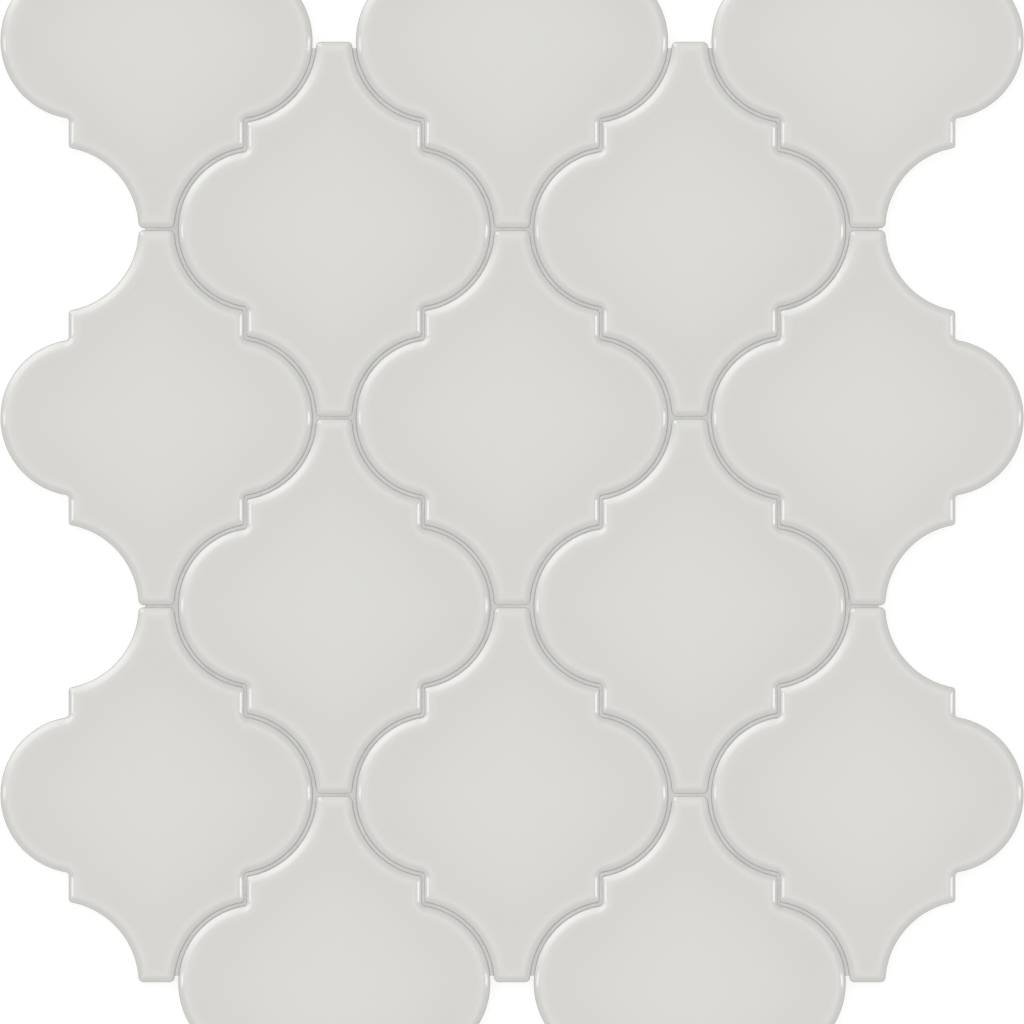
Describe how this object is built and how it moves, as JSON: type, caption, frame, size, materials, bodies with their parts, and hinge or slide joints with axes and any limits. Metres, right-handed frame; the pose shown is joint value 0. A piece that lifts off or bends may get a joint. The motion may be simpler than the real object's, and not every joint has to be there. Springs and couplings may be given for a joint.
{
  "type": "arabesque mosaic tile sheet",
  "caption": "Mosaic sheet of interlocking glazed arabesque lantern tiles with round side lobes and square necks, set in pale joint filler on a mesh backing, for walls.",
  "frame": {"origin": "middle of the sheet's outline, on the plane that the mesh backing lies on", "axes": "+Z out of the glazed faces, +Y along the tiles' necks towards the row of three at the end, +X across the lobes"},
  "size_m": [0.2558, 0.3294, 0.007],
  "materials": {
    "glazed_tile": "glossy warm-white glaze with a soft cushion edge",
    "joint_filler": "fine sanded pale grey joint filler",
    "mesh": "white glass-fibre net with a dried glue coat"
  },
  "bodies": {
    "root": {"tile_row1_left": "glazed_tile", "tile_row1_middle": "glazed_tile", "tile_row1_right": "glazed_tile", "tile_row2_left": "glazed_tile", "tile_row2_right": "glazed_tile", "tile_row3_left": "glazed_tile", "tile_row3_middle": "glazed_tile", "tile_row3_right": "glazed_tile", "tile_row4_left": "glazed_tile", "tile_row4_right": "glazed_tile", "tile_row5_left": "glazed_tile", "tile_row5_middle": "glazed_tile", "tile_row5_right": "glazed_tile", "tile_row6_left": "glazed_tile", "tile_row6_right": "glazed_tile", "joint_filler": "joint_filler", "mesh_backing": "mesh"}
  },
  "joints": []
}
